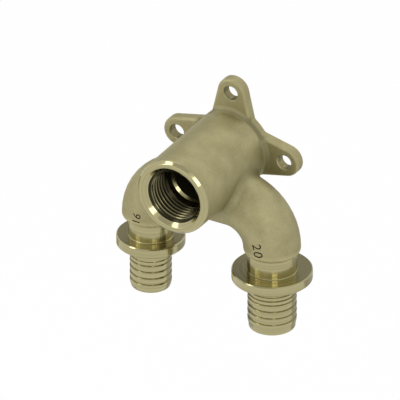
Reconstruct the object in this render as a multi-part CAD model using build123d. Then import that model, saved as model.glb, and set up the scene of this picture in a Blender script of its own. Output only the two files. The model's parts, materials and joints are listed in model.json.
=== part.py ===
from build123d import *
import math
import os

# A cast and machined U-shaped wall plate: a tap socket with three screw lugs, and two pipe ends below it.
# Millimetres. The wall is the plane Y = 0, the socket opens towards -Y, and the pipe ends point down.

# Socket barrel
barrel_length = 46.0
barrel_radius = 14.55
lip_outer_chamfer = 1.2
lip_inner_chamfer = 1.5
thread_major_radius = 10.4775
thread_minor_radius = 9.3155
thread_depth = 12.0
drill_depth = 15.7
seat_angle = 45.0
chamber_radius = 8.5
back_wall = 5.0

# Screw lugs
lug_thickness = 3.8
screw_reach = 7.55
screw_hole_radius = 2.75
screw_hole_chamfer = 0.35
lug_end_radius = 5.6
lug_taper = 13.0
lug_edge_round = 1.0
lug_root_fillet = 2.0
lug_angles = (0.0, 90.0, 180.0)

# U tube
arm_spacing = 50.0
tube_radius = 10.38
tube_wall_gap = 6.97
bend_radius = 15.6
run_drop = 11.0
waterway_radius = 7.0
saddle_fillet = 3.0

# Necks and flanges, the same on both pipe ends
shoulder_drop = 2.0
neck_length = 7.15
flange_thickness = 3.7
flange_chamfer = 0.35

# Barbs, the same on both pipe ends
barb_depth = 0.42
barb_crest_land = 0.45
barb_bulge = 0.12
tip_edge_width = 0.45
tip_edge_height = 0.5
bore_chamfer = 0.4

# Large pipe end
large_neck_radius = 9.02
large_flange_radius = 14.6
large_crest_radius = 8.85
large_bore_radius = 6.6
large_land_length = 3.95
large_short_barb_count = 2
large_short_pitch = 1.65
large_long_barb_count = 4
large_long_pitch = 2.7
large_tip_length = 1.5

# Small pipe end
small_neck_radius = 8.08
small_flange_radius = 12.4
small_crest_radius = 7.55
small_bore_radius = 5.3
small_land_length = 4.35
small_short_barb_count = 1
small_short_pitch = 1.8
small_long_barb_count = 4
small_long_pitch = 2.6
small_tip_length = 0.6

# Levels that follow from the sizes above
screw_offset = barrel_radius + screw_reach
arm_x = arm_spacing / 2
arm_standoff = tube_wall_gap + tube_radius
elbow_end_z = -(run_drop + bend_radius)
shoulder_z = elbow_end_z - shoulder_drop
flange_top_z = shoulder_z - neck_length
flange_bottom_z = flange_top_z - flange_thickness
seam_angle = (lug_angles[0] + lug_angles[1]) / 2
arm_plane = Plane(origin=(0, -arm_standoff, 0), x_dir=(1, 0, 0), z_dir=(0, -1, 0))


def barrel_body():
    """The outside of the socket, turned about Y, with a chamfered lip and its seam between two lugs."""
    outline = Polyline(
        (0, 0),
        (barrel_radius, 0),
        (barrel_radius, lip_outer_chamfer - barrel_length),
        (barrel_radius - lip_outer_chamfer, -barrel_length),
        (0, -barrel_length),
        close=True,
    )
    return Rot(0, -seam_angle, 0) * revolve(make_face(outline), axis=Axis.Y)


def socket_cut():
    """The socket at the thread's major radius, the tapping hole, its conical seat and the chamber."""
    thread_end_y = thread_depth - barrel_length
    drill_end_y = drill_depth - barrel_length
    slope = math.tan(math.radians(seat_angle))
    runout_length = (thread_major_radius - thread_minor_radius) / slope
    seat_length = (thread_minor_radius - chamber_radius) / slope
    outline = Polyline(
        (0, -back_wall),
        (chamber_radius, -back_wall),
        (chamber_radius, drill_end_y + seat_length),
        (thread_minor_radius, drill_end_y),
        (thread_minor_radius, thread_end_y + runout_length),
        (thread_major_radius, thread_end_y),
        (thread_major_radius, lip_inner_chamfer - barrel_length),
        (thread_major_radius + lip_inner_chamfer, -barrel_length),
        (0, -barrel_length),
        close=True,
    )
    return revolve(make_face(outline), axis=Axis.Y)


def tube_path():
    """The U's centre line: up one arm, across below the socket, and down the other arm."""
    bend_x = arm_x - bend_radius
    left_bend = CenterArc((-bend_x, elbow_end_z), bend_radius, 180, -90)
    run = Line((-bend_x, -run_drop), (bend_x, -run_drop))
    right_bend = CenterArc((bend_x, elbow_end_z), bend_radius, 90, -90)
    return arm_plane * Wire([*left_bend.edges(), *run.edges(), *right_bend.edges()])


def tube_sweep(radius):
    """A round bar of the given radius along the U's centre line."""
    path = tube_path()
    start = Plane(origin=path @ 0, z_dir=path % 0)
    return sweep(start * Circle(radius), path=path)


def lug():
    """One tapered lug from the barrel's axis along +X, with a round end and soft front edges."""
    taper = math.radians(lug_taper)
    side_x = screw_offset + lug_end_radius * math.sin(taper)
    side_z = lug_end_radius * math.cos(taper)
    root_z = side_z + side_x * math.tan(taper)
    sides = Polyline((side_x, side_z), (0, root_z), (0, -root_z), (side_x, -side_z))
    end = ThreePointArc((side_x, -side_z), (screw_offset + lug_end_radius, 0), (side_x, side_z))
    outline = make_face([*sides.edges(), *end.edges()])
    plate = extrude(Plane.XZ * outline, lug_thickness)
    front = plate.faces().sort_by(Axis.Y)[0]
    return fillet(front.edges(), lug_edge_round)


def screw_hole():
    """The hole through one lug along +X, with a broken front edge."""
    outline = Polyline(
        (0, 0),
        (screw_hole_radius, 0),
        (screw_hole_radius, -lug_thickness + screw_hole_chamfer),
        (screw_hole_radius + screw_hole_chamfer, -lug_thickness),
        (0, -lug_thickness),
        close=True,
    )
    return Pos(screw_offset, 0, 0) * revolve(make_face(outline), axis=Axis.Y)


def barb_lines(crest_radius, start_z, pitches):
    """Sawtooth barbs, one for each pitch: a ledge facing the flange, a crest land and a bulged flank."""
    root_radius = crest_radius - barb_depth
    lines = []
    z = start_z
    for pitch in pitches:
        land_z = z - barb_crest_land
        end_z = z - pitch
        middle = (crest_radius - barb_depth / 2 + barb_bulge, (land_z + end_z) / 2)
        lines += Polyline((root_radius, z), (crest_radius, z), (crest_radius, land_z)).edges()
        lines += ThreePointArc((crest_radius, land_z), middle, (root_radius, end_z)).edges()
        z = end_z
    return lines, z


def pipe_end(neck_radius, flange_radius, crest_radius, land_length, pitches, tip_length):
    """Shoulder, neck, flange and barbed nipple, turned about Z, as the solid and its tip's level."""
    root_radius = crest_radius - barb_depth
    first_ledge_z = flange_bottom_z - land_length
    barbs, barbs_end_z = barb_lines(crest_radius, first_ledge_z, pitches)
    tip_z = barbs_end_z - tip_length
    shoulder_width = tube_radius - neck_radius
    shoulder = EllipticalCenterArc((neck_radius, elbow_end_z), shoulder_width, shoulder_drop, -90)
    neck_and_flange = Polyline(
        (neck_radius, shoulder_z),
        (neck_radius, flange_top_z),
        (flange_radius - flange_chamfer, flange_top_z),
        (flange_radius, flange_top_z - flange_chamfer),
        (flange_radius, flange_bottom_z + flange_chamfer),
        (flange_radius - flange_chamfer, flange_bottom_z),
        (root_radius, flange_bottom_z),
        (root_radius, first_ledge_z),
    )
    tip_side = Line((root_radius, barbs_end_z), (root_radius, tip_z + tip_edge_height))
    tip_centre = (root_radius - tip_edge_width, tip_z + tip_edge_height)
    tip_edge = EllipticalCenterArc(tip_centre, tip_edge_width, tip_edge_height, -90)
    centre_line = Polyline(
        (root_radius - tip_edge_width, tip_z), (0, tip_z), (0, elbow_end_z), (tube_radius, elbow_end_z)
    )
    lines = [shoulder, neck_and_flange, *barbs, tip_side, tip_edge, centre_line]
    outline = Plane.XZ * make_face([edge for line in lines for edge in line.edges()])
    return revolve(outline, axis=Axis.Z), tip_z


def nipple_bore(bore_radius, tip_z):
    """The bore drilled up a nipple to the elbow, with a chamfer at its mouth."""
    outline = Polyline(
        (0, elbow_end_z),
        (bore_radius, elbow_end_z),
        (bore_radius, tip_z + bore_chamfer),
        (bore_radius + bore_chamfer, tip_z),
        (0, tip_z),
        close=True,
    )
    return revolve(Plane.XZ * make_face(outline), axis=Axis.Z)


# Turned pipe ends
large_end, large_tip_z = pipe_end(
    large_neck_radius,
    large_flange_radius,
    large_crest_radius,
    large_land_length,
    [large_short_pitch] * large_short_barb_count + [large_long_pitch] * large_long_barb_count,
    large_tip_length,
)
small_end, small_tip_z = pipe_end(
    small_neck_radius,
    small_flange_radius,
    small_crest_radius,
    small_land_length,
    [small_short_pitch] * small_short_barb_count + [small_long_pitch] * small_long_barb_count,
    small_tip_length,
)

# Barrel and U tube, blended where they cross
barrel = barrel_body()
tube = tube_sweep(tube_radius)
casting = barrel + tube
casting = fillet(new_edges(barrel, tube, combined=casting), saddle_fillet)

# Lugs, blended into the barrel in front of the wall plane
lugs = Part() + [Rot(0, -angle, 0) * lug() for angle in lug_angles]
lugged = casting + lugs
roots = new_edges(casting, lugs, combined=lugged)
roots = roots.filter_by(lambda edge: not Plane.XZ.contains(edge.center()))
casting = fillet(roots, lug_root_fillet)

# Pipe ends on the arms
large_place = Pos(arm_x, -arm_standoff, 0)
small_place = Pos(-arm_x, -arm_standoff, 0)
casting = casting + large_place * large_end + small_place * small_end

# Waterways and screw holes
casting = casting - socket_cut() - tube_sweep(waterway_radius)
casting = casting - large_place * nipple_bore(large_bore_radius, large_tip_z)
casting = casting - small_place * nipple_bore(small_bore_radius, small_tip_z)
wall_plate = casting - [Rot(0, -angle, 0) * screw_hole() for angle in lug_angles]

os.makedirs("parts", exist_ok=True)
export_step(wall_plate, "parts/wall_plate.step")
print("large tip", round(large_tip_z, 2), "small tip", round(small_tip_z, 2))
print("solids", len(wall_plate.solids()), "valid", wall_plate.is_valid)
print("volume", round(wall_plate.volume, 1), "box", wall_plate.bounding_box())
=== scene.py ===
# %% [markdown]
# # A cast U-shaped wall plate
# A wall plate is screwed to the wall where a tap will be. The tap's thread goes into the socket in
# front, and two pipes are pressed over the barbed ends below. The body is one brass casting, so most
# of it has a dull, slightly sandy skin. Only the places that seal or guide are turned on a lathe: the
# lip, the socket, the necks, the flanges and the barbed ends.
#
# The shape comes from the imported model. This script dresses it: it lights the set, sorts the faces by
# the way each was made, rounds the turned corners, stamps the pipe sizes into the arms and cuts a
# real screw thread.

# %% Load the fixed frame
import json
import math

import bmesh
import bpy
from mathutils import Matrix, Vector
from mathutils.bvhtree import BVHTree
from mathutils.interpolate import poly_3d_calc


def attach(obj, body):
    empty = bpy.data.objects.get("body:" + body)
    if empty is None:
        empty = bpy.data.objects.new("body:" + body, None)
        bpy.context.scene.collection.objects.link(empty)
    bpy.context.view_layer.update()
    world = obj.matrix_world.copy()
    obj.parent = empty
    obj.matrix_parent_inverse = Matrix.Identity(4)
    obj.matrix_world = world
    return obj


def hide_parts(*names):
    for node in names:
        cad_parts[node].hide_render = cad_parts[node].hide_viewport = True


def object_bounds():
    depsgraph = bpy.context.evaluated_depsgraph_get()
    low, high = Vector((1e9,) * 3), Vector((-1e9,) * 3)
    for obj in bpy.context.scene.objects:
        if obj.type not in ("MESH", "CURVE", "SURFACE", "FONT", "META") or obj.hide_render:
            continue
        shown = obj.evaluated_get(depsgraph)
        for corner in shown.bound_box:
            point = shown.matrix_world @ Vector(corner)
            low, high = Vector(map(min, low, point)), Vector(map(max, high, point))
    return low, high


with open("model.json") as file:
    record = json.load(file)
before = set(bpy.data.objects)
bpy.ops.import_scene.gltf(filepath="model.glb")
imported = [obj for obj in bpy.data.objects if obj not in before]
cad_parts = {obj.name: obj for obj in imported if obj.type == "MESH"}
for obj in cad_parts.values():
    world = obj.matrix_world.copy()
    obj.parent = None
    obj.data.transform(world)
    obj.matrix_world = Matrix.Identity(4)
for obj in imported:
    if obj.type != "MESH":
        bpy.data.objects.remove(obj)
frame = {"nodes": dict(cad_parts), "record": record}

cad_low, cad_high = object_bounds()
cad_node = frame["nodes"]["wall_plate"]
print("frame", tuple(cad_low), tuple(cad_high), len(cad_node.data.polygons), "triangles")

# %% [markdown]
# ## Measures
# Blender works in metres here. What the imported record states, such as the socket's radius and the
# places of the two pipe ends, is read from it, so the pieces follow the model. The few other sizes
# are written in millimetres, where they are first needed.

# %% Read the sizes that the record states
MM = 0.001
mounts = {mount["name"]: mount for mount in frame["record"]["mounts"]}
arm_x = mounts["large_pipe_end"]["pos_m"][0]
arm_y = mounts["large_pipe_end"]["pos_m"][1]
thread_major = mounts["socket"]["dims"]["r_mm"] * MM
thread_length = mounts["socket"]["dims"]["length_mm"] * MM
thread_middle_y = mounts["socket"]["pos_m"][1]
screw_circle = mounts["top_screw"]["pos_m"][2]
screw_radius = mounts["top_screw"]["dims"]["r_mm"] * MM
print("arms at", arm_x, arm_y, "socket radius", thread_major, "screws at", screw_circle)

# %% [markdown]
# ## Camera
# The picture has no perspective: parallel edges of the plate stay parallel. So the camera is
# orthographic, and one number, the width of the view, sets the scale. It looks down on the plate
# from 30 degrees to the right and 30 degrees above.

# %% Place an orthographic camera
picture_pixels = 400
pixels_per_mm = 2.8
camera_azimuth = math.radians(30)
camera_elevation = math.radians(30)
camera_distance = 0.6
look_at = Vector((-6.0, -15.15, -17.81)) * MM

up = Vector((0, 0, 1))
ground_forward = Vector((-math.sin(camera_azimuth), math.cos(camera_azimuth), 0))
ground_right = Vector((math.cos(camera_azimuth), math.sin(camera_azimuth), 0))
to_camera = up * math.sin(camera_elevation) - ground_forward * math.cos(camera_elevation)

camera_data = bpy.data.cameras.new("camera")
camera_data.type = "ORTHO"
camera_data.ortho_scale = picture_pixels / pixels_per_mm * MM
camera = bpy.data.objects.new("camera", camera_data)
camera.location = look_at + to_camera * camera_distance
camera.rotation_euler = to_camera.to_track_quat("Z", "Y").to_euler()
bpy.context.scene.collection.objects.link(camera)
bpy.context.scene.camera = camera
print("view is", round(camera_data.ortho_scale / MM, 1), "mm wide")

# %% [markdown]
# ## White room
# The plate is shown on plain white. The room could be a big white box, but a world shader does the
# same with no geometry. Camera, glossy and transmission rays find it pure white, so that metal mirrors
# the same ground that the eye sees, and as plain light it is a little dimmer.

# %% Fill the room with white
bpy.context.scene.view_settings.view_transform = "Standard"
room_light = 0.9


def new_nodes(owner):
    """An empty node tree on a material or world."""
    owner.use_nodes = True
    owner.node_tree.nodes.clear()
    return owner.node_tree


def seen_white(tree):
    """A mask that is 1 for camera, glossy and transmission rays."""
    path = tree.nodes.new("ShaderNodeLightPath")
    total = path.outputs["Is Camera Ray"]
    for name in ("Is Glossy Ray", "Is Transmission Ray"):
        either = tree.nodes.new("ShaderNodeMath")
        either.operation = "MAXIMUM"
        tree.links.new(total, either.inputs[0])
        tree.links.new(path.outputs[name], either.inputs[1])
        total = either.outputs[0]
    return total


def white_room():
    """A world that is white to the eye and to mirrors, and a little dimmer as plain light."""
    world = bpy.data.worlds.new("room")
    tree = new_nodes(world)
    sky = tree.nodes.new("ShaderNodeBackground")
    sky.inputs["Color"].default_value = (1, 1, 1, 1)
    strength = tree.nodes.new("ShaderNodeMix")
    strength.data_type = "FLOAT"
    strength.inputs["A"].default_value = room_light
    strength.inputs["B"].default_value = 1.0
    tree.links.new(seen_white(tree), strength.inputs["Factor"])
    tree.links.new(strength.outputs["Result"], sky.inputs["Strength"])
    out = tree.nodes.new("ShaderNodeOutputWorld")
    tree.links.new(sky.outputs[0], out.inputs["Surface"])
    return world


bpy.context.scene.world = white_room()
print("room light", room_light)

# %% [markdown]
# ## Floor
# The plate hangs on a wall, so the floor lies some way below it. It is white to the same rays as the
# room. A small share of plain white paper stays in its material, and that share is what the plate's
# soft shadow darkens.

# %% Lay a white floor
floor_drop = 120 * MM
floor_level = cad_low.z - floor_drop
floor_half_side = 3.0
paper_white = 0.9
shadow_share = 0.12


def floor_material():
    """White paper that camera and mirrors see as nearly pure white."""
    material = bpy.data.materials.new("floor_white")
    tree = new_nodes(material)
    share = tree.nodes.new("ShaderNodeMath")
    share.operation = "MULTIPLY"
    share.inputs[1].default_value = 1 - shadow_share
    tree.links.new(seen_white(tree), share.inputs[0])
    paper = tree.nodes.new("ShaderNodeBsdfDiffuse")
    paper.inputs["Color"].default_value = (paper_white, paper_white, paper_white, 1)
    glow = tree.nodes.new("ShaderNodeEmission")
    glow.inputs["Color"].default_value = (1, 1, 1, 1)
    both = tree.nodes.new("ShaderNodeMixShader")
    tree.links.new(share.outputs[0], both.inputs["Fac"])
    tree.links.new(paper.outputs[0], both.inputs[1])
    tree.links.new(glow.outputs[0], both.inputs[2])
    out = tree.nodes.new("ShaderNodeOutputMaterial")
    tree.links.new(both.outputs[0], out.inputs["Surface"])
    return material


def link_mesh(name, bm, materials):
    """A new object from a bmesh, at the origin."""
    mesh = bpy.data.meshes.new(name)
    bm.to_mesh(mesh)
    bm.free()
    for material in materials:
        mesh.materials.append(material)
    thing = bpy.data.objects.new(name, mesh)
    bpy.context.scene.collection.objects.link(thing)
    return thing


def flat_card(name, centre, across, along, material):
    """A rectangle about a point, given by its two half sides, that belongs to the set."""
    sides = Matrix((across, along, across.cross(along))).transposed()
    bm = bmesh.new()
    bmesh.ops.create_grid(
        bm, x_segments=1, y_segments=1, size=1, matrix=Matrix.Translation(centre) @ sides.to_4x4()
    )
    card = link_mesh(name, bm, [material])
    return card


floor_across = Vector((floor_half_side, 0, 0))
floor_along = Vector((0, floor_half_side, 0))
floor = flat_card("floor", up * floor_level, floor_across, floor_along, floor_material())
print("floor at", round(floor_level / MM, 1), "mm,", tuple(floor.dimensions), "m")

# %% [markdown]
# ## Soft boxes
# White all round would leave metal flat, because metal has no colour of its own but what it mirrors.
# Two small soft boxes in front make the sparks on the lip and the bright lines on the necks. A wide dim
# one in front fills the necks, and another above lifts the tops. Each is an area light. Its power
# follows from how bright it should look, because a light of twice the area needs twice the power to
# look the same.

# %% Hang the soft boxes
spark_radiance = 3.4
spark_distance = 0.6
spark_width = 0.13
left_spark_height = 0.26
left_spark_direction = Vector((-0.56, -0.535, 0.63))
right_spark_height = 0.16
right_spark_direction = Vector((0.580, -0.659, 0.479))
front_radiance = 0.3
front_distance = 0.8
front_width = 0.9
front_height = 0.5
front_direction = Vector((-0.35, -0.85, 0.35))
ceiling_radiance = 0.7
ceiling_distance = 0.8
ceiling_width = 0.8
ceiling_depth = 0.6
ceiling_direction = Vector((-0.25, 0.45, 0.86))


def soft_box(name, direction, distance, width, height, radiance):
    """A rectangular area light that faces the plate."""
    lamp = bpy.data.lights.new(name, "AREA")
    lamp.shape = "RECTANGLE"
    lamp.size = width
    lamp.size_y = height
    lamp.energy = radiance * math.pi * width * height
    box = bpy.data.objects.new(name, lamp)
    box.location = look_at + direction.normalized() * distance
    box.rotation_euler = direction.to_track_quat("Z", "Y").to_euler()
    bpy.context.scene.collection.objects.link(box)
    print(name, round(lamp.energy, 3), "W")


for name, direction, height in (
    ("soft_box_left", left_spark_direction, left_spark_height),
    ("soft_box_right", right_spark_direction, right_spark_height),
):
    soft_box(name, direction, spark_distance, spark_width, height, spark_radiance)
soft_box("soft_box_front", front_direction, front_distance, front_width, front_height, front_radiance)
soft_box(
    "soft_box_above", ceiling_direction, ceiling_distance, ceiling_width, ceiling_depth, ceiling_radiance
)

# %% [markdown]
# ## Cards
# A photographer of metal also sets up grey cards, whose dark mirror images draw the edges. One stands
# behind the plate and darkens the flange tops, one leans over the front, and a wide one lies on the
# floor. A small one over its corner has the tone of the brass, for the edge of the lip. All are seen
# by mirrors only, so the floor stays white and no card throws a shadow.

# %% Set up the cards
back_card_tone = (0.35, 0.35, 0.35)
back_card_centre = ground_forward * 0.6 + up * 0.27
back_card_across = ground_right * 0.5
back_card_along = up * 0.25
floor_card_tone = (0.55, 0.55, 0.55)
floor_card_lift = 2 * MM
floor_card_centre = ground_forward * 0.5 + ground_right * 0.3 + up * (floor_level + floor_card_lift)
floor_card_across = ground_right * 0.45
floor_card_along = ground_forward * 0.47
left_card_tone = (0.55, 0.50, 0.32)
left_card_lift = 4 * MM
left_card_centre = ground_forward * 0.27 - ground_right * 0.22 + up * (floor_level + left_card_lift)
left_card_across = ground_right * 0.20
left_card_along = ground_forward * 0.10
front_card_tone = (0.70, 0.70, 0.70)
front_card_centre = Vector((-0.18, -0.45, 0.76))
front_card_across = ground_right * 0.5
front_card_along = ground_right.cross(front_card_centre).normalized() * 0.38


def card_material(name, tone):
    """A card that mirrors see as one even tone."""
    material = bpy.data.materials.new(name)
    tree = new_nodes(material)
    glow = tree.nodes.new("ShaderNodeEmission")
    glow.inputs["Color"].default_value = (*tone, 1)
    out = tree.nodes.new("ShaderNodeOutputMaterial")
    tree.links.new(glow.outputs[0], out.inputs["Surface"])
    return material


def mirror_card(name, centre, across, along, tone):
    """A card for mirrors only: the camera, shadows and plain light don't find it."""
    card = flat_card(name, centre, across, along, card_material(name, tone))
    card.visible_camera = False
    card.visible_diffuse = False
    card.visible_shadow = False
    print(name, "tone", tone)


mirror_card("card_behind", back_card_centre, back_card_across, back_card_along, back_card_tone)
mirror_card("card_floor", floor_card_centre, floor_card_across, floor_card_along, floor_card_tone)
mirror_card("card_left", left_card_centre, left_card_across, left_card_along, left_card_tone)
mirror_card("card_front", front_card_centre, front_card_across, front_card_along, front_card_tone)

# %% [markdown]
# ## Sand grain
# The skin of a casting repeats the sand of its mould: soft bumps a third of a millimetre across, and
# patches where it came out a little darker. Several finishes use it, so it is a node group, which each
# material places with its own depth and colours. It works on Object coordinates, so the grain has the
# same size everywhere and needs no unwrapping.

# %% Build the sand grain group
grain_size = 0.32 * MM
lump_size = 0.9 * MM
lump_share = 0.5
patch_size = 7.0 * MM
speck_size = 0.6 * MM
speck_share = 0.35
plain_detail = 2.0
patch_detail = 4.0
mask_low = 0.36
mask_high = 0.64


def new_group(name, outputs):
    """A shader group that reads a point, and its two end nodes."""
    group = bpy.data.node_groups.new(name, "ShaderNodeTree")
    group.interface.new_socket("Vector", in_out="INPUT", socket_type="NodeSocketVector")
    for label in outputs:
        group.interface.new_socket(label, in_out="OUTPUT", socket_type="NodeSocketFloat")
    return group, group.nodes.new("NodeGroupInput").outputs["Vector"], group.nodes.new("NodeGroupOutput")


def noise(tree, vector, size, detail=plain_detail):
    """Noise whose blotches are about the given size in metres."""
    node = tree.nodes.new("ShaderNodeTexNoise")
    node.inputs["Scale"].default_value = 1 / size
    node.inputs["Detail"].default_value = detail
    tree.links.new(vector, node.inputs["Vector"])
    return node.outputs["Fac"]


def math_node(tree, operation, first, second=0.0):
    """A math node on sockets or plain numbers."""
    node = tree.nodes.new("ShaderNodeMath")
    node.operation = operation
    for socket, value in zip(node.inputs, (first, second)):
        if isinstance(value, (int, float)):
            socket.default_value = value
        else:
            tree.links.new(value, socket)
    return node.outputs[0]


def stretch(tree, value, from_low, from_high, to_low=0.0, to_high=1.0):
    """A value carried from one range to another, and held at its ends."""
    node = tree.nodes.new("ShaderNodeMapRange")
    node.inputs["From Min"].default_value = from_low
    node.inputs["From Max"].default_value = from_high
    node.inputs["To Min"].default_value = to_low
    node.inputs["To Max"].default_value = to_high
    tree.links.new(value, node.inputs["Value"])
    return node.outputs["Result"]


def blend_noise(tree, vector, first_size, second_size, second_share, detail):
    """Two sizes of noise in one, with an average of a half."""
    first = math_node(tree, "MULTIPLY", noise(tree, vector, first_size, detail), 1 - second_share)
    second = math_node(tree, "MULTIPLY", noise(tree, vector, second_size), second_share)
    return math_node(tree, "ADD", first, second)


def sand_grain_group():
    """Height of the mould's grain, and a mask of the patches in the skin."""
    group, vector, end = new_group("sand_grain", ["Height", "Patches"])
    height = blend_noise(group, vector, grain_size, lump_size, lump_share, plain_detail)
    patches = blend_noise(group, vector, patch_size, speck_size, speck_share, patch_detail)
    group.links.new(height, end.inputs["Height"])
    group.links.new(stretch(group, patches, mask_low, mask_high), end.inputs["Patches"])
    return group


sand_grain = sand_grain_group()
print(sand_grain.name, len(sand_grain.nodes), "nodes")

# %% [markdown]
# ## Tool rings
# A lathe tool leaves fine grooves that run round the axis of turning. They depend only on the distance
# from that axis and on the way along it, so the group turns a point into those two numbers and looks
# up noise there. The same group then serves a lip, a flange face and a nipple.

# %% Build the tool ring group
groove_size = 0.22 * MM
streak_size = 0.9 * MM


def split(tree, vector):
    """The three coordinates of a point."""
    node = tree.nodes.new("ShaderNodeSeparateXYZ")
    tree.links.new(vector, node.inputs[0])
    return node.outputs["X"], node.outputs["Y"], node.outputs["Z"]


def join(tree, x, y, z=None):
    """A point from its coordinates."""
    node = tree.nodes.new("ShaderNodeCombineXYZ")
    for socket, value in zip(node.inputs, (x, y, z)):
        if value is not None:
            tree.links.new(value, socket)
    return node.outputs[0]


def diagonal(tree, first, second):
    """The length of the diagonal over two lengths."""
    squares = [math_node(tree, "MULTIPLY", side, side) for side in (first, second)]
    return math_node(tree, "SQRT", math_node(tree, "ADD", *squares))


def tool_ring_group():
    """Height of the grooves and a mask of dull streaks, at a point whose Z runs along the axis."""
    group, vector, end = new_group("tool_rings", ["Height", "Streaks"])
    x, y, z = split(group, vector)
    feed = join(group, diagonal(group, x, y), z)
    streaks = noise(group, feed, streak_size)
    group.links.new(noise(group, feed, groove_size), end.inputs["Height"])
    group.links.new(stretch(group, streaks, mask_low, mask_high), end.inputs["Streaks"])
    return group


tool_rings = tool_ring_group()
print(tool_rings.name, len(tool_rings.nodes), "nodes")

# %% [markdown]
# ## Painted corner shade and shoulder light
# The inner corners of the skin are painted a little darker, as shade. A corner is a place that is close to
# two
# surfaces at once: barrel and lug, or barrel and tube. The shoulders are the other way round: their ends
# are painted paler, as light. All these distances follow from the point alone, so the masks need no baking
# and no image.

# %% Build the group of painted corner shade and shoulder light
barrel_radius = 14.55 * MM
lug_front = -3.8 * MM
lug_fillet = 2.0 * MM
tube_radius = 10.38 * MM
bend_radius = 15.6 * MM
run_drop = 11.0 * MM
saddle_fillet = 3.0 * MM
bend_x = arm_x - bend_radius
elbow_end = -run_drop - bend_radius
# Painted shade in the inner corners: where it is full and where it fades, in shares of each fillet, and how
# dark.
deepest_share = 0.3
lug_edge_share = 0.9
lug_shade_strength = 1.0
saddle_edge_share = 1.4
saddle_shade_strength = 0.5
shoulder_end = -28.6 * MM
# Painted light: the shoulders are made paler over this length up from their ends.
shoulder_light_length = 3.0 * MM


def painted_light_mask_group():
    """Masks, 1 at their deepest: painted shade in the fillets of the lugs and the U's crossing, painted
    light at the shoulders' ends.
    """
    group, vector, end = new_group("painted_light_masks", ["Corner", "PaintedShoulderLight"])
    x, y, z = split(group, vector)
    off_barrel = math_node(group, "SUBTRACT", diagonal(group, x, z), barrel_radius)
    off_lug = math_node(group, "ABSOLUTE", math_node(group, "SUBTRACT", y, lug_front))
    past_bend = math_node(group, "SUBTRACT", math_node(group, "ABSOLUTE", x), bend_x)
    past_bend = math_node(group, "MAXIMUM", past_bend, 0.0)
    above_bend = math_node(group, "SUBTRACT", z, elbow_end)
    off_line = math_node(group, "SUBTRACT", diagonal(group, past_bend, above_bend), bend_radius)
    from_line = diagonal(group, off_line, math_node(group, "SUBTRACT", y, arm_y))
    off_tube = math_node(group, "SUBTRACT", from_line, tube_radius)
    masks = []
    # Painted shade in the fillets of the lugs and of the U's crossing.
    for off_other, fillet, edge_share, strength in (
        (off_lug, lug_fillet, lug_edge_share, lug_shade_strength),
        (off_tube, saddle_fillet, saddle_edge_share, saddle_shade_strength),
    ):
        gap = math_node(group, "MAXIMUM", off_barrel, off_other)
        masks.append(stretch(group, gap, deepest_share * fillet, edge_share * fillet, strength, 0.0))
    # Painted light on the shoulders' ends, fading upwards.
    shoulder_light_mask = stretch(group, z, shoulder_end, shoulder_end + shoulder_light_length, 1.0, 0.0)
    group.links.new(math_node(group, "MAXIMUM", *masks), end.inputs["Corner"])
    group.links.new(shoulder_light_mask, end.inputs["PaintedShoulderLight"])
    return group


painted_light_masks = painted_light_mask_group()
print(painted_light_masks.name, len(painted_light_masks.nodes), "nodes")

# %% [markdown]
# ## Cast, cored, drilled and stamped brass
# All the finishes are one alloy, a pale and slightly greenish brass, and differ in how rough they are and
# how dark they are painted. The cast skin scatters what it mirrors. The waterway, left by a sand core, the
# drilled holes, which are smoother, and the stamped figures are painted darker than the skin, as shade
# inside them. All four are the sand grain with their own colours, roughness and depth, and a metallic
# Principled shader.

# %% Make the grainy finishes
cast_dark = (0.365, 0.330, 0.176)
cast_light = (0.435, 0.395, 0.218)
# Painted shade: the colour that the inner corners are darkened to.
corner_painted_shade = (0.235, 0.213, 0.114)
# Painted light: the paler colour of the shoulders' ends.
shoulder_painted_light = (0.620, 0.560, 0.310)
# Painted shade: the waterway is painted far darker than the skin.
core_dark = (0.120, 0.106, 0.060)
core_light = (0.180, 0.160, 0.092)
# Painted shade: the drilled holes are painted darker than the turned brass.
drill_dark = (0.180, 0.160, 0.080)
drill_light = (0.290, 0.260, 0.135)
# Painted shade: the stamped figures are painted nearly black, as shade in their recesses.
stamp_dark = (0.050, 0.044, 0.026)
stamp_light = (0.085, 0.075, 0.045)


def brass_shader(tree, roughness):
    """A metal Principled shader joined to the output."""
    shader = tree.nodes.new("ShaderNodeBsdfPrincipled")
    shader.inputs["Metallic"].default_value = 1.0
    shader.inputs["Roughness"].default_value = roughness
    out = tree.nodes.new("ShaderNodeOutputMaterial")
    tree.links.new(shader.outputs[0], out.inputs["Surface"])
    return shader


def blend_colours(tree, mask, low, high):
    """A colour between two, which are fixed or come from a socket, by a mask."""
    mix = tree.nodes.new("ShaderNodeMix")
    mix.data_type = "RGBA"
    tree.links.new(mask, mix.inputs["Factor"])
    for name, colour in (("A", low), ("B", high)):
        if isinstance(colour, tuple):
            mix.inputs[name].default_value = (*colour, 1)
        else:
            tree.links.new(colour, mix.inputs[name])
    return mix.outputs["Result"]


def add_bump(tree, shader, height, depth):
    """A bump of the given depth in metres on a shader."""
    bump = tree.nodes.new("ShaderNodeBump")
    bump.inputs["Strength"].default_value = 1.0
    bump.inputs["Distance"].default_value = depth
    tree.links.new(height, bump.inputs["Height"])
    tree.links.new(bump.outputs["Normal"], shader.inputs["Normal"])


def place_group(tree, group, vector):
    """The outputs of a shared effect, read at a point."""
    node = tree.nodes.new("ShaderNodeGroup")
    node.node_tree = group
    tree.links.new(vector, node.inputs["Vector"])
    return node.outputs


def object_point(tree):
    """The point in the plate's own frame."""
    return tree.nodes.new("ShaderNodeTexCoord").outputs["Object"]


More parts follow.
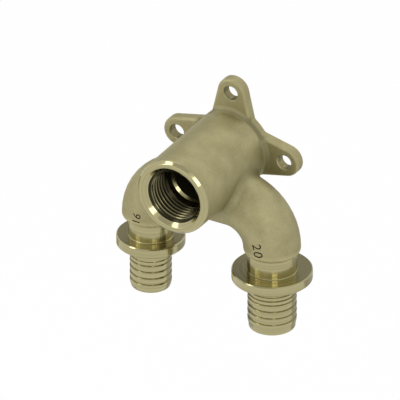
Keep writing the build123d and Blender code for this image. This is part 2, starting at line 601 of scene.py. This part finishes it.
def grainy_finish(name, dark, light, smooth, rough, grain_depth, is_skin=False):
    """Brass with the mould's grain and patches; on the skin, painted corner shade and shoulder light."""
    material = bpy.data.materials.new(name)
    tree = new_nodes(material)
    shader = brass_shader(tree, rough)
    point = object_point(tree)
    grain = place_group(tree, sand_grain, point)
    colour = blend_colours(tree, grain["Patches"], dark, light)
    if is_skin:
        masks = place_group(tree, painted_light_masks, point)
        # Painted shade: the inner corners are darkened.
        colour = blend_colours(tree, masks["Corner"], colour, corner_painted_shade)
        # Painted light: the shoulders' ends are made paler.
        colour = blend_colours(tree, masks["PaintedShoulderLight"], colour, shoulder_painted_light)
    tree.links.new(colour, shader.inputs["Base Color"])
    tree.links.new(stretch(tree, grain["Patches"], 0, 1, rough, smooth), shader.inputs["Roughness"])
    add_bump(tree, shader, grain["Height"], grain_depth)
    print(name, len(tree.nodes), "nodes")
    return material


cast_brass = grainy_finish(
    "cast_brass", cast_dark, cast_light, smooth=0.54, rough=0.64, grain_depth=0.085 * MM, is_skin=True
)
cored_brass = grainy_finish(
    "cored_waterway", core_dark, core_light, smooth=0.55, rough=0.65, grain_depth=0.08 * MM
)
drilled_brass = grainy_finish(
    "drilled_hole", drill_dark, drill_light, smooth=0.30, rough=0.42, grain_depth=0.012 * MM
)
stamped_brass = grainy_finish(
    "stamped_figure", stamp_dark, stamp_light, smooth=0.50, rough=0.60, grain_depth=0.02 * MM
)

# %% [markdown]
# ## Turned brass
# The lip, rims and barbed ends mirror almost sharply, with fine rings, and the necks and flange tops are
# satin. Each finish only has to say where its axis of turning lies: the socket's runs along Y, and
# each pipe end has its own upright axis. The two pipe ends lie mirrored about the middle, so the absolute
# value of X serves both.

# %% Make the turned finishes
turned_dark = (0.370, 0.336, 0.178)
turned_light = (0.430, 0.391, 0.214)
groove_depth = 0.0004 * MM


def along_socket(tree):
    """The point with Z along the socket's axis."""
    x, y, z = split(tree, object_point(tree))
    return join(tree, x, z, y)


def along_pipe(tree):
    """The point measured from the axis of the nearer pipe end."""
    x, y, z = split(tree, object_point(tree))
    across = math_node(tree, "SUBTRACT", math_node(tree, "ABSOLUTE", x), arm_x)
    return join(tree, across, math_node(tree, "SUBTRACT", y, arm_y), z)


def turned_finish(name, point_on_axis, smooth, rough):
    """Lathe-turned brass: bright, with fine rings about the axis."""
    material = bpy.data.materials.new(name)
    tree = new_nodes(material)
    shader = brass_shader(tree, rough)
    rings = place_group(tree, tool_rings, point_on_axis(tree))
    colour = blend_colours(tree, rings["Streaks"], turned_light, turned_dark)
    tree.links.new(colour, shader.inputs["Base Color"])
    tree.links.new(stretch(tree, rings["Streaks"], 0, 1, smooth, rough), shader.inputs["Roughness"])
    add_bump(tree, shader, rings["Height"], groove_depth)
    print(name, len(tree.nodes), "nodes")
    return material


turned_socket = turned_finish("turned_socket", along_socket, smooth=0.11, rough=0.16)
turned_pipe = turned_finish("turned_pipe", along_pipe, smooth=0.13, rough=0.18)
turned_neck = turned_finish("turned_neck", along_pipe, smooth=0.20, rough=0.26)

# %% [markdown]
# ## A freshly cut thread is bright on its crests; its roots are painted dark as shade, and the crests too, deeper in.
# A freshly cut thread is bright on its crests, and its roots hold dark cutting oil, more of it deeper in.
# Crest and root differ only in their distance from the socket's axis, so that distance, and the way in
# from the mouth, choose the colour.

# %% Make the thread finish
# Painted shade: the roots, and the crests at the deep end, are darker.
thread_root_shade = (0.030, 0.027, 0.014)
thread_light = (0.285, 0.258, 0.138)
thread_deep_shade = (0.040, 0.036, 0.019)
thread_rough = 0.22
crest_gap = 1.05 * MM
root_gap = 0.65 * MM
thread_front = thread_middle_y - thread_length / 2
thread_back = thread_middle_y + thread_length / 2


def thread_finish(name):
    """A cut thread: bright on the crests, with painted shade in the roots and deeper in."""
    material = bpy.data.materials.new(name)
    tree = new_nodes(material)
    shader = brass_shader(tree, thread_rough)
    x, y, z = split(tree, object_point(tree))
    # Painted shade in the roots, and on the crests deeper in.
    root = stretch(tree, diagonal(tree, x, z), thread_major - crest_gap, thread_major - root_gap)
    crest = blend_colours(tree, stretch(tree, y, thread_front, thread_back), thread_light, thread_deep_shade)
    tree.links.new(blend_colours(tree, root, crest, thread_root_shade), shader.inputs["Base Color"])
    return material


cut_thread = thread_finish("cut_thread")
finishes = [
    cast_brass,
    turned_socket,
    turned_pipe,
    turned_neck,
    cut_thread,
    drilled_brass,
    cored_brass,
    stamped_brass,
]
CAST, SOCKET, PIPE, NECK, THREAD, DRILL, CORE, STAMP = range(len(finishes))
print("finishes", [material.name for material in finishes])

# %% [markdown]
# ## Sorting the faces by how they were made
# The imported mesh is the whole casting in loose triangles, and it stays as it is. A copy is merged into
# one closed skin. Then each face gets a finish by where it lies: the lip, the seat and all below the
# shoulders of the arms were turned, the socket was tapped, the bores and screw holes were drilled, the
# inside of the U was left by the sand core, and the rest is cast.

# %% Merge a copy of the casting and sort its faces
near = 0.05 * MM
merge_distance = 0.001 * MM
sliver_length = 0.0001 * MM
waterway_radius = 7.0 * MM
large_bore = 6.6 * MM
small_bore = 5.3 * MM
flange_top = -35.75 * MM
lip_chamfer = 1.2 * MM
mouth_chamfer = 1.5 * MM
drill_depth = 15.7 * MM
seat_length = 0.9 * MM
lip_start = cad_low.y + lip_chamfer
seat_start = cad_low.y + drill_depth
seat_end = seat_start + seat_length
mouth_radius = thread_major + mouth_chamfer
thread_minor = 9.3155 * MM
runout_end = thread_back + thread_major - thread_minor
screw_places = [(screw_circle, 0), (-screw_circle, 0), (0, screw_circle)]


def from_pipe(point):
    """Distance from the axis of the nearer pipe end."""
    return math.hypot(abs(point.x) - arm_x, point.y - arm_y)


def from_waterway(point):
    """Distance from the centre line of the U."""
    if point.z < elbow_end:
        return from_pipe(point)
    past_bend = max(abs(point.x) - bend_x, 0)
    off_line = math.hypot(past_bend, point.z - elbow_end) - bend_radius
    return math.hypot(off_line, point.y - arm_y)


def finish_at(point):
    """The finish of the casting's skin at a point."""
    bore = large_bore if point.x > 0 else small_bore
    from_socket = math.hypot(point.x, point.z)
    from_screw = min(math.hypot(point.x - x, point.z - z) for x, z in screw_places)
    if point.z < elbow_end and from_pipe(point) < bore + near:
        return DRILL
    if point.z < shoulder_end:
        return NECK if point.z > flange_top - near else PIPE
    if from_screw < screw_radius + near:
        return DRILL
    if point.y < lip_start + near:
        return SOCKET
    if from_socket < mouth_radius and point.y < runout_end:
        return THREAD
    if from_socket < mouth_radius and point.y < seat_end:
        return SOCKET if point.y > seat_start else DRILL
    if from_waterway(point) < waterway_radius + near:
        return CORE
    if from_socket < mouth_radius and point.y < -near:
        return CORE
    return CAST


skin = bmesh.new()
skin.from_mesh(cad_node.data)
bmesh.ops.remove_doubles(skin, verts=skin.verts, dist=merge_distance)
bmesh.ops.dissolve_degenerate(skin, edges=skin.edges, dist=sliver_length)
for face in skin.faces:
    face.material_index = finish_at(face.calc_center_median())
for index, material in enumerate(finishes):
    print(material.name, sum(face.material_index == index for face in skin.faces), "faces")

# %% [markdown]
# ## Rounding the turned corners
# No turned corner is perfectly sharp: the tool's nose leaves a small round, and that round carries the
# bright line along a barb or a lip. In the inner corners of a neck it leaves a fillet. Bevel makes both.
# The rings are cut into triangles, so these are joined to quads first, which leaves clean loops of edges.
# Only rings that lie level with the axis are taken.

# %% Round the necks, barbs, flanges and lip
neck_round = 0.25 * MM
large_neck = 9.02 * MM
barb_round = 0.10 * MM
lip_round = 0.25 * MM
round_segments = 3
round_profile = 0.5
flat_angle = math.radians(1)
any_shape = math.pi
barb_angle = math.radians(60)
lip_angle = math.radians(30)
nipple_wall = 7.05 * MM


def is_neck_corner(edge, height):
    """True for the inner corner of a neck at a height."""
    for vert in edge.verts:
        if abs(vert.co.z - height) > near or not nipple_wall < from_pipe(vert.co) < large_neck + near:
            return False
    return edge.calc_face_angle(0) > barb_angle


def is_neck_top(edge):
    """True for the inner corner between a shoulder and its neck."""
    return is_neck_corner(edge, shoulder_end)


def is_neck_foot(edge):
    """True for the inner corner between a neck and its flange."""
    return is_neck_corner(edge, flange_top)


def is_barb_corner(edge):
    """True for a sharp ring on the outside of a pipe end."""
    if any(vert.co.z > shoulder_end - near or from_pipe(vert.co) < nipple_wall for vert in edge.verts):
        return False
    level = abs(edge.verts[0].co.z - edge.verts[1].co.z) < near
    return level and edge.calc_face_angle(0) > barb_angle


def is_lip_corner(edge):
    """True for a ring that bounds a chamfer of the lip."""
    if any(vert.co.y > lip_start + near for vert in edge.verts):
        return False
    level = abs(edge.verts[0].co.y - edge.verts[1].co.y) < near
    return level and edge.calc_face_angle(0) > lip_angle


def join_rings(bm):
    """Joins the triangles of the turned places and the shoulders to quads."""
    rings = [face for face in bm.faces if face.material_index in (SOCKET, PIPE, NECK)]
    rings += [
        face for face in bm.faces
        if face.material_index == CAST and face.calc_center_median().z < elbow_end
    ]
    bmesh.ops.join_triangles(
        bm, faces=rings, angle_face_threshold=flat_angle, angle_shape_threshold=any_shape
    )


def round_corners(bm, is_corner, radius):
    """Rounds the sharp rings of a turned place."""
    corners = [edge for edge in bm.edges if is_corner(edge)]
    bmesh.ops.bevel(
        bm,
        geom=corners,
        offset=radius,
        offset_type="OFFSET",
        segments=round_segments,
        profile=round_profile,
        affect="EDGES",
        clamp_overlap=True,
        material=-1,
    )
    print("rounded", len(corners), "edges by", round(radius / MM, 2), "mm")


join_rings(skin)
round_corners(skin, is_neck_top, neck_round)
round_corners(skin, is_neck_foot, neck_round)
round_corners(skin, is_barb_corner, barb_round)
round_corners(skin, is_lip_corner, lip_round)
for face in skin.faces:
    face.smooth = True
print("casting", len(skin.faces), "faces,", sum(not edge.is_manifold for edge in skin.edges), "open edges")
casting = link_mesh("wall_plate_casting", skin, finishes)

# %% [markdown]
# ## Punches for the pipe sizes
# Each arm carries the size of the pipe that fits it, stamped along the front of the tube so that it
# reads up the left arm and down the right one. The figures start as text, which becomes a flat mesh.
# Each figure is laid on the elbow, bent to the tube's round front and extruded inwards, and so becomes
# a punch.

# %% Make the punches
stamp_depth = 0.35 * MM
stamp_rise = 0.3 * MM
large_number = "20"
large_number_size = 5.2 * MM
large_number_step = 3.0 * MM
large_number_place = 2.85 * MM
small_number = "16"
small_number_size = 4.5 * MM
small_number_step = 2.4 * MM
small_number_place = 1.8 * MM
RIGHT = 1
LEFT = -1


def figure_mesh(figure, size):
    """A flat mesh of one figure, centred on its own middle."""
    text = bpy.data.curves.new("figure", "FONT")
    text.body = figure
    text.size = size
    text.align_x = "CENTER"
    text.align_y = "CENTER"
    holder = bpy.data.objects.new("figure", text)
    bpy.context.scene.collection.objects.link(holder)
    bpy.context.view_layer.update()
    mesh = bpy.data.meshes.new_from_object(holder.evaluated_get(bpy.context.evaluated_depsgraph_get()))
    bpy.data.objects.remove(holder)
    return mesh


def add_punch(bm, figure, size, side, along):
    """Adds the punch for one figure, at a way up the elbow of the right or left arm."""
    angle = along / bend_radius
    outward = Vector((side * math.cos(angle), 0, math.sin(angle)))
    reading = Vector((math.sin(angle), 0, -side * math.cos(angle)))
    middle = Vector((side * bend_x, arm_y, elbow_end)) + outward * bend_radius
    punch = bmesh.new()
    punch.from_mesh(figure_mesh(figure, size))
    bmesh.ops.remove_doubles(punch, verts=punch.verts, dist=merge_distance)
    for vert in punch.verts:
        front = math.sqrt(tube_radius ** 2 - vert.co.y ** 2) + stamp_rise
        vert.co = middle + reading * vert.co.x + outward * vert.co.y - Vector((0, front, 0))
    made = bmesh.ops.extrude_face_region(punch, geom=punch.faces[:])
    sunk = [item for item in made["geom"] if isinstance(item, bmesh.types.BMVert)]
    bmesh.ops.translate(punch, verts=sunk, vec=(0, stamp_rise + stamp_depth, 0))
    bmesh.ops.recalc_face_normals(punch, faces=punch.faces)
    for face in punch.faces:
        face.material_index = STAMP
    mesh = bpy.data.meshes.new("punch")
    punch.to_mesh(mesh)
    punch.free()
    bm.from_mesh(mesh)


def add_number(bm, figures, size, step, side, along):
    """Adds the punches for a number whose middle is at a way up the elbow."""
    for place, figure in enumerate(figures):
        shift = (place - (len(figures) - 1) / 2) * step
        add_punch(bm, figure, size, side, along - side * shift)


tools = bmesh.new()
add_number(tools, large_number, large_number_size, large_number_step, RIGHT, large_number_place)
add_number(tools, small_number, small_number_size, small_number_step, LEFT, small_number_place)
punches = link_mesh("punches", tools, finishes)
print("punches", len(punches.data.polygons), "faces")

# %% [markdown]
# ## Stamping
# A Boolean modifier takes the punches out of the casting, and their own material stays on the new
# faces. Painting the figures would be quicker, but a cut has real walls that catch the light from every
# side. The result is read back as a plain mesh, so no modifier stays on the piece.

# %% Stamp the pipe sizes into the casting
cut = casting.modifiers.new("stamp", "BOOLEAN")
cut.operation = "DIFFERENCE"
cut.solver = "EXACT"
cut.object = punches
bpy.context.view_layer.update()
view = bpy.context.evaluated_depsgraph_get()
stamped_mesh = bpy.data.meshes.new_from_object(casting.evaluated_get(view), depsgraph=view)
casting.modifiers.clear()
print("stamped:", len(casting.data.polygons), "faces became", len(stamped_mesh.polygons))
casting.data = stamped_mesh
bpy.data.objects.remove(punches)

# %% [markdown]
# ## Smooth normals from the model
# A mesh of a round form shades well only if each corner knows the true direction of the surface there,
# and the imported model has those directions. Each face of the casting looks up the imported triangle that
# it lies on and takes its normals. The faces that are new keep their own: the walls of the figures stay
# flat, and the small rounds are swung about their axis of turning, so that they shine evenly.

# %% Give the casting the model's own normals
new_face_angle = math.radians(8)
socket_axis = Vector((0, 1, 0))


def swing(start, end, centre, axis):
    """The rotation about an axis that carries one point's direction to another's."""
    flat_start = (start - centre) - axis * (start - centre).dot(axis)
    flat_end = (end - centre) - axis * (end - centre).dot(axis)
    return flat_start.rotation_difference(flat_end)


def own_normal(face, place):
    """The normal of a new face at one of its corners."""
    if face.material_index != STAMP and face.center.z < elbow_end:
        pipe_centre = Vector((math.copysign(arm_x, place.x), arm_y, 0))
        return swing(face.center, place, pipe_centre, up) @ face.normal
    if face.material_index == SOCKET:
        return swing(face.center, place, Vector(), socket_axis) @ face.normal
    return face.normal.copy()


def borrow_normals(mesh, source):
    """Sets the corner normals of a mesh from the nearest triangles of another."""
    places = [vert.co for vert in source.vertices]
    tree = BVHTree.FromPolygons(places, [face.vertices[:] for face in source.polygons])
    source_normals = [corner.vector.copy() for corner in source.corner_normals]
    normals = [None] * len(mesh.loops)
    new_faces = 0
    for face in mesh.polygons:
        triangle = source.polygons[tree.find_nearest(face.center)[2]]
        corners = [places[vert] for vert in triangle.vertices]
        known = [source_normals[loop] for loop in triangle.loop_indices]
        is_new = face.normal.angle(triangle.normal, 0) > new_face_angle
        new_faces += is_new
        for loop in face.loop_indices:
            place = mesh.vertices[mesh.loops[loop].vertex_index].co
            if is_new:
                normals[loop] = own_normal(face, place)
                continue
            weights = poly_3d_calc(corners, place)
            blended = sum((normal * weight for normal, weight in zip(known, weights)), Vector())
            normals[loop] = blended.normalized()
    mesh.normals_split_custom_set(normals)
    print("normals for", len(normals), "corners,", new_faces, "new faces keep their own")


borrow_normals(casting.data, cad_node.data)
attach(casting, "root")
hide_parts("wall_plate")

# %% [markdown]
# ## The section of the thread
# The tap screws into a half-inch parallel pipe thread: a right-hand ridge with flanks at 55 degrees,
# which comes round every 1.814 mm. Its section is a small trapezium with softened crest corners. It
# reaches a little into the socket's wall, so that no gap shows at its foot.

# %% Draw one section of the ridge
thread_pitch = 1.814 * MM
thread_angle = math.radians(55)
wall_overlap = 0.04 * MM
crest_soft = 0.12 * MM
foot_share = 0.46
least_crest_share = 0.06
flank_slope = math.tan(thread_angle / 2)
foot_half = foot_share * thread_pitch
crest_half = foot_half - (thread_major - thread_minor) * flank_slope
crest_half = max(crest_half, least_crest_share * thread_pitch)
half_section = [
    (thread_major + wall_overlap, foot_half),
    (thread_minor + crest_soft, crest_half + crest_soft * flank_slope),
    (thread_minor, crest_half / 2),
]
ridge_section = [(radius, -way) for radius, way in half_section]
ridge_section += [(radius, way) for radius, way in reversed(half_section)]
print("ridge", [(round(radius / MM, 3), round(way / MM, 3)) for radius, way in ridge_section])

# %% [markdown]
# ## The socket's thread
# One section is spun about the socket's axis, and each step of the spin also moves it along the axis,
# which makes the helix. A Screw modifier could do the same, but the spin leaves a mesh that can be
# trimmed at once: at the mouth the countersink has cut the first turn away, so points there are pushed
# out to its cone, and at the end the ridge runs out into the wall of the tapping hole.

# %% Spin the ridge into a helix
steps_per_turn = 120
crease_angle = math.radians(40)


def least_radius(y):
    """How near the axis the ridge may come at a way along it."""
    if y > runout_end - near:
        return thread_minor + wall_overlap
    return thread_major + wall_overlap - (y - thread_front)


turns = (runout_end - thread_front) / thread_pitch
steps = round(turns * steps_per_turn)
ridge = bmesh.new()
section = ridge.faces.new(
    [ridge.verts.new((radius, thread_front + way, 0)) for radius, way in ridge_section]
)
bmesh.ops.spin(
    ridge,
    geom=[section],
    cent=(0, 0, 0),
    axis=socket_axis,
    dvec=socket_axis * thread_pitch / steps_per_turn,
    angle=math.tau * steps / steps_per_turn,
    steps=steps,
    use_merge=False,
)
for vert in ridge.verts:
    radius = math.hypot(vert.co.x, vert.co.z)
    scale = max(radius, least_radius(vert.co.y)) / radius
    vert.co.x *= scale
    vert.co.z *= scale
bmesh.ops.recalc_face_normals(ridge, faces=ridge.faces)
for face in ridge.faces:
    face.smooth = True
thread = link_mesh("socket_thread", ridge, [cut_thread])
thread.data.set_sharp_from_angle(angle=crease_angle)
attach(thread, "root")
print("thread", len(thread.data.polygons), "faces in", round(turns, 2), "turns")
